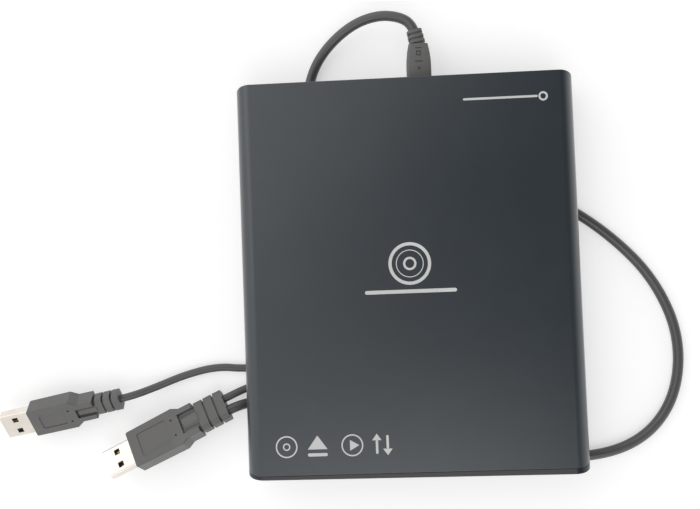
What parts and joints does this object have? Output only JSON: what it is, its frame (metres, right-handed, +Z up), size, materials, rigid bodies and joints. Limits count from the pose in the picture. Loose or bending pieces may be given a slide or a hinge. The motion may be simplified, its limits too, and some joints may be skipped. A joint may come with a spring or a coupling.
{
  "type": "external dvd drive",
  "caption": "Flat portable disc drive: a tray slides out of a rounded dark casing; a forked cable with a small rear plug ends in large plugs.",
  "frame": {"origin": "centre of the drive's own bounding box (casing, bezel and feet, without the cable)", "axes": "+X right seen from the front, -Y towards the tray's front and the user, +Z up through the top cover"},
  "size_m": [0.2898, 0.1944, 0.0235],
  "materials": {
    "cover_plastic": "fine satin, dark grey",
    "base_plastic": "fine texture, black",
    "bezel_plastic": "glossy black",
    "foot_rubber": "matt",
    "screw_steel": "plated",
    "sheet_steel": "galvanised sheet",
    "rail_plastic": "moulded",
    "tray_plastic": "moulded, fine texture",
    "board_green": "solder mask over glass fibre",
    "chip_black": "moulded",
    "socket_metal": "tinned sheet",
    "socket_plastic": "moulded",
    "flex_film": "amber film",
    "indicator_plastic": "clear light guide",
    "rod_steel": "ground and polished",
    "motor_steel": "plated",
    "sled_metal": "die cast",
    "lens_plastic": "moulded",
    "lens_glass": "coated, bluish",
    "hub_plastic": "moulded",
    "grip_rubber": "matt",
    "cord_sheath": "soft sheath, satin",
    "plug_plastic": "moulded, satin",
    "plug_nickel": "nickel plated",
    "plug_insert": "moulded",
    "contact_gold": "gold plated"
  },
  "bodies": {
    "casing": {"top_cover": "cover_plastic", "bottom_cover": "base_plastic", "front_frame": "base_plastic", "rear_panel": "base_plastic", "rubber_feet": "foot_rubber", "case_screws": "screw_steel", "drive_screws": "screw_steel", "bridge_board": "board_green", "bridge_chips": "chip_black", "sata_socket": "socket_plastic", "usb_socket": "socket_metal", "drive_chassis": "sheet_steel", "drive_lid": "sheet_steel", "fixed_rail_right": "rail_plastic", "fixed_rail_left": "rail_plastic", "drive_board": "board_green", "drive_chips": "chip_black", "sata_plug": "socket_plastic", "chassis_flex": "flex_film", "ejector_pin": "rail_plastic", "ejector_spring": "screw_steel", "mini_plug_grip": "plug_plastic", "mini_plug_shell": "plug_nickel", "main_cord": "cord_sheath", "power_cord": "cord_sheath", "data_plug_grip": "plug_plastic", "data_plug_shell": "plug_nickel", "data_plug_tongue": "plug_insert", "data_plug_contacts": "contact_gold", "power_plug_grip": "plug_plastic", "power_plug_shell": "plug_nickel", "power_plug_tongue": "plug_insert", "power_plug_contacts": "contact_gold"},
    "tray": {"disc_tray": "tray_plastic", "tray_bezel": "bezel_plastic", "indicator_lens": "indicator_plastic", "tray_board": "board_green", "eject_switch": "chip_black", "tray_flex": "flex_film", "latch_solenoid": "motor_steel", "traverse_frame": "sheet_steel", "traverse_dampers": "grip_rubber", "damper_screws": "screw_steel", "mechanism_cover": "sheet_steel", "guide_rods": "rod_steel", "sled_motor": "motor_steel", "spindle_motor": "motor_steel"},
    "rail_right": {"sliding_rail_right": "sheet_steel"},
    "rail_left": {"sliding_rail_left": "sheet_steel"},
    "button": {"eject_button": "bezel_plastic"},
    "spindle": {"turntable": "hub_plastic", "hub_claws": "hub_plastic", "grip_ring": "grip_rubber"},
    "pickup": {"pickup_sled": "sled_metal"},
    "lens": {"lens_holder": "lens_plastic", "objective_lens": "lens_glass"},
    "screw": {"lead_screw": "rod_steel"},
    "latch": {"latch_hook": "rail_plastic"}
  },
  "joints": [
    {"name": "tray_slide", "type": "slide", "parent": "casing", "child": "tray", "axis": [0, -1, 0], "range_m": [0, 0.126]},
    {"name": "rail_right_slide", "type": "slide", "parent": "casing", "child": "rail_right", "axis": [0, -1, 0], "range_m": [0, 0.063]},
    {"name": "rail_left_slide", "type": "slide", "parent": "casing", "child": "rail_left", "axis": [0, -1, 0], "range_m": [0, 0.063]},
    {"name": "button_press", "type": "slide", "parent": "tray", "child": "button", "axis": [0, 1, 0], "range_m": [0, 0.0006], "stiffness_N_per_m": 400},
    {"name": "spindle_turn", "type": "hinge", "parent": "tray", "child": "spindle", "pos_m": [0, -0.014, 0], "axis": [0, 0, 1], "continuous": true},
    {"name": "pickup_slide", "type": "slide", "parent": "tray", "child": "pickup", "axis": [-0.7071, 0.7071, 0], "range_m": [0, 0.033]},
    {"name": "lens_focus", "type": "slide", "parent": "pickup", "child": "lens", "axis": [0, 0, 1], "range_m": [-0.0004, 0.0004], "stiffness_N_per_m": 150},
    {"name": "screw_turn", "type": "hinge", "parent": "tray", "child": "screw", "pos_m": [-0.0292, -0.01492, 0.00095], "axis": [-0.7071, 0.7071, 0], "range_deg": [0, 3960]},
    {"name": "latch_turn", "type": "hinge", "parent": "tray", "child": "latch", "pos_m": [0.044, -0.052, 0], "axis": [0, 0, 1], "range_deg": [0, 15], "stiffness_Nm_per_rad": 0.002}
  ],
  "couplings": [
    {"joint": "rail_right_slide", "follows": "tray_slide", "ratio": 0.5},
    {"joint": "rail_left_slide", "follows": "tray_slide", "ratio": 0.5},
    {"joint": "screw_turn", "follows": "pickup_slide", "rad_per_m": 2094.4}
  ]
}
